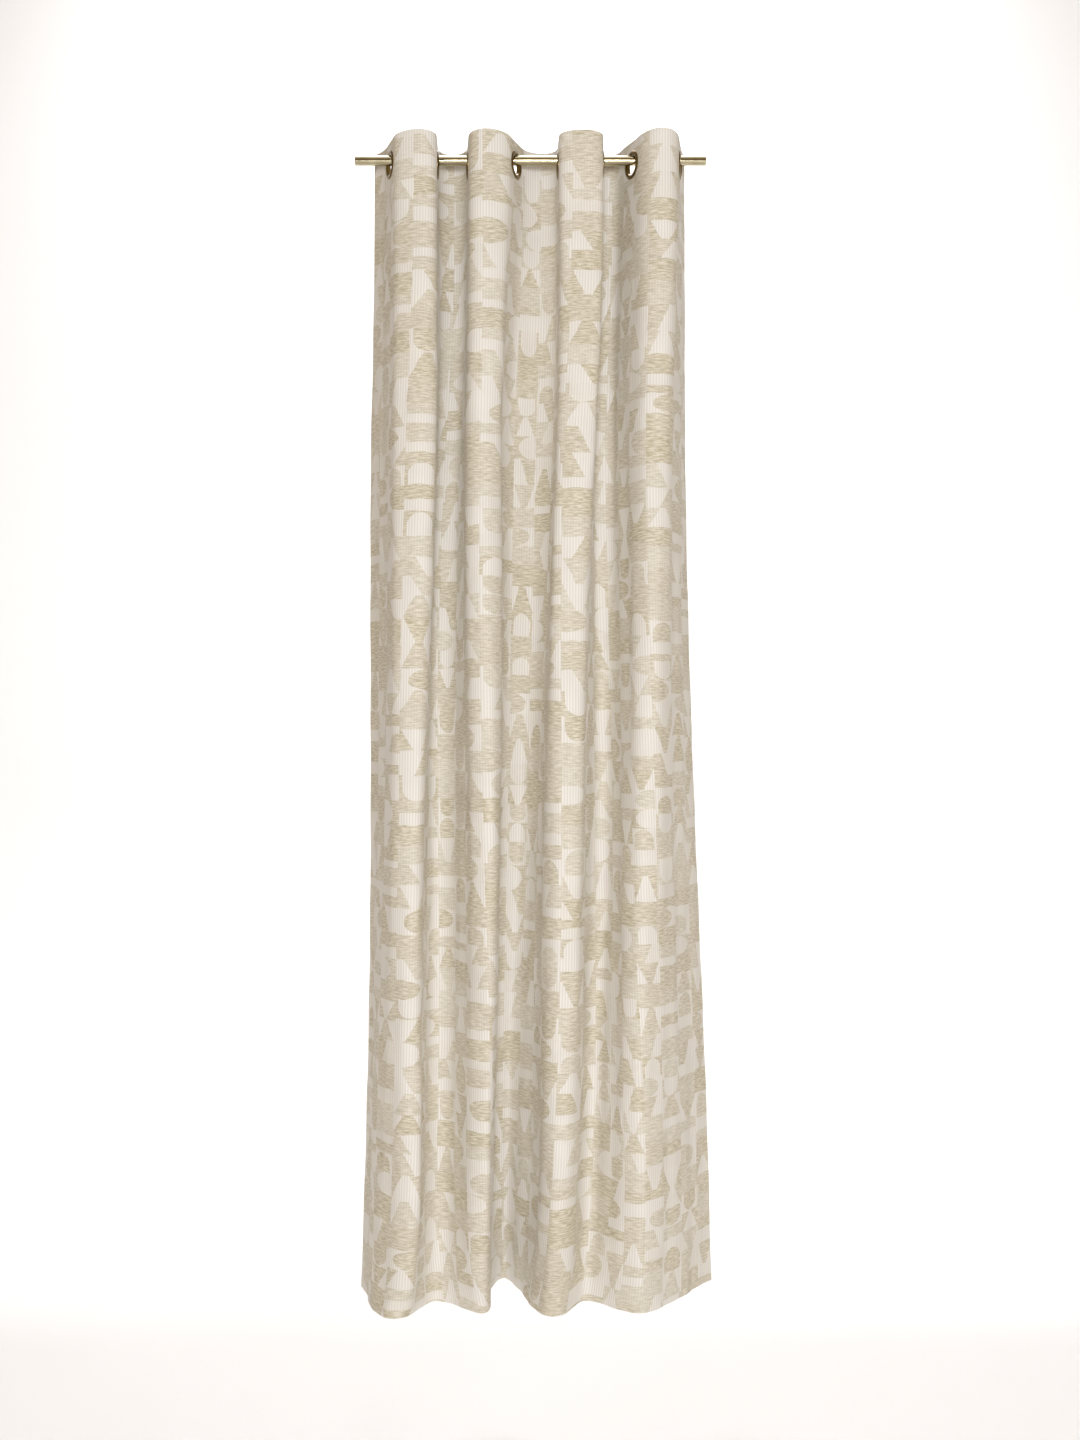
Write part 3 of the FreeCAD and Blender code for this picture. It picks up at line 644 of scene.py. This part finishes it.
# Bonded polyester tape: plain white, matt, with a faint crossed grain.
TAPE_GRAIN = 0.0012
tape_finish, tree, shader = new_finish("bonded_tape", IOR=1.5)
laid = put(tree, "ShaderNodeUVMap", uv_map="flat_cloth")[0]
grain = put(tree, "ShaderNodeTexNoise", {"Vector": laid, "Scale": 1 / TAPE_GRAIN, "Detail": 2.0})[0]
colour = put(
    tree, "ShaderNodeMix", {0: grain, 6: linear("DEDBD4"), 7: linear("F4F2EE")}, data_type="RGBA"
)[2]
rough = put(tree, "ShaderNodeMapRange", {"Value": grain, "To Min": 0.75, "To Max": 0.9})[0]
bump = put(tree, "ShaderNodeBump", {"Height": grain, "Strength": 0.4, "Distance": 0.0002})[0]
shade(tree, shader, Base_Color=colour, Roughness=rough, Normal=bump)

TAPE_FRONT, TAPE_BACK = 0.00055, 0.00115
flat, faces = flat_cloth(HEADER_ROWS)
tape = thin_solid(
    "header_tape", flat, faces, laid_at(TAPE_FRONT, TAPE_BACK), [tape_finish]
)
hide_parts("header_stiffener")

# ---------------------------------------------------------------- header facing
# The panel's own cloth, folded over the tape along the top edge and stitched down behind.
# Its right side faces back, and the eyelets pass through it too.

FOLD_CELLS = 8


def turned(near, far, edge):
    """For cloth that is folded to the back round an edge of the panel: its placing, its pattern, which
    goes on past the edge, and the rows of its fold.

    Its flat points hold how far along the edge they are, and how far in from it. Below zero is the fold.
    """
    middle = (CLOTH_FRONT + far) / 2
    length = math.pi * ((near + far) / 2 - middle)

    def place(flat, face):
        radius = (near if face == "front" else far) - middle
        angle = np.clip(-flat[:, 1] / length, 0, 1) * math.pi
        inwards = np.where(flat[:, 1] < 0, -radius * np.sin(angle), flat[:, 1])
        return hang(*edge(flat[:, 0], inwards), middle + radius * np.cos(angle))

    def pattern(flat):
        past = [np.column_stack(edge(flat[:, 0], inwards)) for inwards in (0 * flat[:, 1], flat[:, 1])]
        return 2 * past[0] - past[1]

    return place, pattern, [-length * step / FOLD_CELLS for step in range(FOLD_CELLS, 0, -1)]


def top_edge(along, inwards):
    """Across and down on the flat panel, for a point along its top edge and in from it."""
    return along, inwards


FACING_FRONT, FACING_BACK = 0.0012, 0.0022
place_facing, pattern, fold = turned(FACING_FRONT, FACING_BACK, top_edge)
flat, faces = flat_cloth(fold + HEADER_ROWS)
facing = thin_solid(
    "header_facing_cloth", flat, faces, place_facing, [reverse_cloth, face_cloth],
    1, pattern(flat),
)
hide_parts("header_facing")

# ---------------------------------------------------------------- bottom hem
# The panel's lowest 80 mm, turned up behind and stitched down along its upper edge. The doubled
# cloth gives the panel weight, so that it hangs straight.

HEM_FRONT, HEM_BACK = 0.00055, 0.00155
BOTTOM_HEM = 0.080
HEM_ROWS = 8


def flat_strip(alongs, inwards):
    """Points (along, in from the edge) and square faces of a plain strip."""
    wide = len(alongs)
    points = np.array([(along, inward) for inward in inwards for along in alongs])
    faces = []
    for row in range(len(inwards) - 1):
        for column in range(wide - 1):
            corner = row * wide + column
            faces.append((corner, corner + 1, corner + wide + 1, corner + wide))
    return points, faces


def turned_hem(name, node, alongs, depth, edge, mirrored):
    """A hem: cloth folded to the back round an edge. A mirrored one has its faces turned over."""
    place, pattern, fold = turned(HEM_FRONT, HEM_BACK, edge)
    flat, faces = flat_strip(alongs, fold + list(np.linspace(0, depth, HEM_ROWS)))
    if mirrored:
        faces = [face[::-1] for face in faces]
    hem = thin_solid(name, flat, faces, place, [reverse_cloth, face_cloth], 1, pattern(flat))
    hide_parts(node)
    return hem


def bottom_edge(along, inwards):
    return along, CLOTH_DROP - inwards


across_steps = np.linspace(0, CLOTH_WIDTH, COLUMNS + 1)
bottom_hem = turned_hem("bottom_hem_cloth", "bottom_hem", across_steps, BOTTOM_HEM, bottom_edge, True)

# ---------------------------------------------------------------- side hems
# The panel's two sides, turned back 30 mm and stitched, from where the header's facing ends down
# to where the bottom hem begins.

SIDE_HEM = 0.030
SIDE_HEM_STEPS = 176


def left_edge(along, inwards):
    return inwards, along


def right_edge(along, inwards):
    return CLOTH_WIDTH - inwards, along


down_steps = np.linspace(HEADER_DEPTH, CLOTH_DROP - BOTTOM_HEM, SIDE_HEM_STEPS)
left_hem = turned_hem("left_hem_cloth", "left_side_hem", down_steps, SIDE_HEM, left_edge, True)
right_hem = turned_hem("right_hem_cloth", "right_side_hem", down_steps, SIDE_HEM, right_edge, False)

# ---------------------------------------------------------------- stitching
# Four rows of lockstitch in thread the colour of the cloth, a stitch every 3.2 mm: one along the
# header's facing, one along the bottom hem, and one down each side hem.

# Spun polyester thread: matt, with the slant of its two plies.
TWIST = 0.0009
thread_finish, tree, shader = new_finish("spun_thread", Sheen_Weight=0.2, IOR=1.5)
place = put(tree, "ShaderNodeTexCoord")["Object"]
plies = put(tree, "ShaderNodeTexNoise", {"Vector": place, "Scale": 1 / TWIST, "Detail": 2.0})[0]
colour = put(
    tree, "ShaderNodeMix", {0: plies, 6: linear("CFC2A6"), 7: linear("EFE8DA")}, data_type="RGBA"
)[2]
rough = put(tree, "ShaderNodeMapRange", {"Value": plies, "To Min": 0.6, "To Max": 0.8})[0]
bump = put(tree, "ShaderNodeBump", {"Height": plies, "Strength": 0.5, "Distance": 0.0002})[0]
shade(tree, shader, Base_Color=colour, Roughness=rough, Normal=bump)

STITCH_EVERY = 0.0032
STITCH_HALF = 0.00125
THREAD_RADIUS = 0.00032
STITCH_INSET = 0.004
# One stitch is a round thread that dips into the cloth at both ends. Its rings: their place in half
# stitches, and their radius and their height in radii of the thread.
STITCH_RINGS = ((-0.86, 0.6, 0.1), (-0.45, 1.0, 0.7), (0.45, 1.0, 0.7), (0.86, 0.6, 0.1))
STITCH_SIDES = 6


def stitch_row(name, node, alongs, inset, surface, edge):
    """A row of stitches along an edge, on the surface that far behind the cloth's middle."""
    turns = np.arange(STITCH_SIDES) * 2 * math.pi / STITCH_SIDES
    shape = [(-STITCH_HALF, 0, -THREAD_RADIUS / 2)]
    for length, width, lift in STITCH_RINGS:
        for turn in turns:
            radius = THREAD_RADIUS * width
            height = THREAD_RADIUS * lift + radius * math.sin(turn)
            shape.append((length * STITCH_HALF, radius * math.cos(turn), height))
    shape.append((STITCH_HALF, 0, -THREAD_RADIUS / 2))
    shape = np.array(shape)
    faces = []
    for side in range(STITCH_SIDES):
        after = (side + 1) % STITCH_SIDES
        faces.append((0, 1 + after, 1 + side))
        for ring in range(len(STITCH_RINGS) - 1):
            first, second = 1 + ring * STITCH_SIDES, 1 + (ring + 1) * STITCH_SIDES
            faces.append((first + side, first + after, second + after, second + side))
        faces.append((second + side, second + after, len(shape) - 1))
    along = (alongs[:, None] + shape[:, 0]).ravel()
    inwards = np.tile(inset + shape[:, 1], len(alongs))
    behind = np.tile(surface + shape[:, 2], len(alongs))
    points = hang(*edge(along, inwards), behind)
    starts = range(0, len(points), len(shape))
    all_faces = [tuple(index + start for index in face) for start in starts for face in faces]
    mesh = bpy.data.meshes.new(name)
    mesh.from_pydata(points.tolist(), [], all_faces)
    mesh.materials.append(thread_finish)
    mesh.shade_smooth()
    stitches = hung_piece(name, mesh)
    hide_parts(node)
    return stitches


wide_row = np.arange(STITCH_EVERY, CLOTH_WIDTH - STITCH_EVERY / 2, STITCH_EVERY)
tall_row = np.arange(HEADER_DEPTH + STITCH_EVERY, CLOTH_DROP - BOTTOM_HEM - STITCH_EVERY / 2, STITCH_EVERY)
header_inset = HEADER_DEPTH - STITCH_INSET
hem_inset = BOTTOM_HEM - STITCH_INSET
side_inset = SIDE_HEM - STITCH_INSET
stitching = [
    stitch_row("header_stitches", "header_stitching", wide_row, header_inset, FACING_BACK, top_edge),
    stitch_row("bottom_hem_stitches", "bottom_hem_stitching", wide_row, hem_inset, HEM_BACK, bottom_edge),
    stitch_row("left_hem_stitches", "left_side_stitching", tall_row, side_inset, HEM_BACK, left_edge),
    stitch_row("right_hem_stitches", "right_side_stitching", tall_row, side_inset, HEM_BACK, right_edge),
]

# ---------------------------------------------------------------- studio
# A pale floor that curves up into a backdrop, soft lights and the camera, level with the middle
# of the curtain.

FLOOR_BELOW = 0.30
floor_z = cad_box[0][2] - FLOOR_BELOW
BACKDROP_Y = 3.2
BEND = 1.2
BEND_STEPS = 16
REACH = 9.0
profile = [(-REACH, floor_z)]
for step in range(BEND_STEPS + 1):
    angle = step / BEND_STEPS * math.pi / 2
    profile.append((BACKDROP_Y - BEND + BEND * math.sin(angle), floor_z + BEND * (1 - math.cos(angle))))
profile.append((BACKDROP_Y, floor_z + REACH))
mesh = bpy.data.meshes.new("studio_sweep")
mesh.from_pydata(
    [(x, y, z) for y, z in profile for x in (-REACH, REACH)], [],
    [(2 * step, 2 * step + 1, 2 * step + 3, 2 * step + 2) for step in range(len(profile) - 1)],
)
mesh.shade_smooth()
# Seamless paper: white and matt, with a grain that hardly shows.
sweep_finish, tree, shader = new_finish("matt_white_paper", Roughness=0.95, IOR=1.4)
place = put(tree, "ShaderNodeTexCoord")["Object"]
grain = put(tree, "ShaderNodeTexNoise", {"Vector": place, "Scale": 300.0})[0]
colour = put(tree, "ShaderNodeMix", {0: grain, 6: linear("F1F1F1"), 7: linear("F6F6F6")}, data_type="RGBA")[2]
shade(tree, shader, Base_Color=colour)
mesh.materials.append(sweep_finish)
sweep = bpy.data.objects.new("studio_sweep", mesh)
bpy.context.scene.collection.objects.link(sweep)


def softbox(name, place, aim, size, power):
    """A soft light. Its size is its width and its height, in metres."""
    light = bpy.data.lights.new(name, "AREA")
    light.shape, light.energy = "RECTANGLE", power
    light.size, light.size_y = size
    light.color = linear("F5F8FF")[:3]
    lamp = bpy.data.objects.new(name, light)
    lamp.location = place
    direction = mathutils.Vector(aim) - mathutils.Vector(place)
    lamp.rotation_euler = direction.to_track_quat("-Z", "Y").to_euler()
    lamp.visible_camera = False
    bpy.context.scene.collection.objects.link(lamp)


softbox("key", (0.1, -5.4, -1.1), (0, 0, -1.2), (1.2, 0.8), 161)
softbox("rod_highlight_strip", (0, -5.2, -1.58), (0, 0, -0.6), (3.0, 0.12), 22)
softbox("side_fill", (2.6, -4.2, -0.8), (0, 0, -1.2), (1.4, 1.4), 30)
softbox("top", (0, -1.2, 2.6), (0, 0.2, -1.0), (1.6, 1.6), 11)
softbox("left_backdrop", (-1.5, 0.5, -0.9), (-1.5, 3.2, -0.9), (1.8, 1.8), 20)
softbox("right_backdrop", (1.5, 0.5, -0.9), (1.5, 3.2, -0.9), (1.8, 1.8), 28)
softbox("floor_wash", (0, 2.1, 2.8), (0, 1.9, -2.7), (2.2, 2.2), 158)
world = bpy.data.worlds.new("studio_air")
world.use_nodes = True
world.node_tree.nodes["Background"].inputs["Color"].default_value = linear("FFE4BC")
world.node_tree.nodes["Background"].inputs["Strength"].default_value = 0.33
bpy.context.scene.world = world
bpy.context.scene.view_settings.view_transform = "Standard"

# The camera stands as far off as 1.02 times the height that it sees.
CAMERA_AWAY = 3.1
FRAME_HEIGHTS_AWAY = 1.0201
camera_data = bpy.data.cameras.new("camera")
camera_data.sensor_fit = "VERTICAL"
camera_data.sensor_height = 24.0
camera_data.lens = camera_data.sensor_height * FRAME_HEIGHTS_AWAY
camera = bpy.data.objects.new("camera", camera_data)
camera.location = (0.02, -CAMERA_AWAY, -1.18)
camera.rotation_euler = (math.pi / 2, 0, 0)
bpy.context.scene.collection.objects.link(camera)
bpy.context.scene.camera = camera
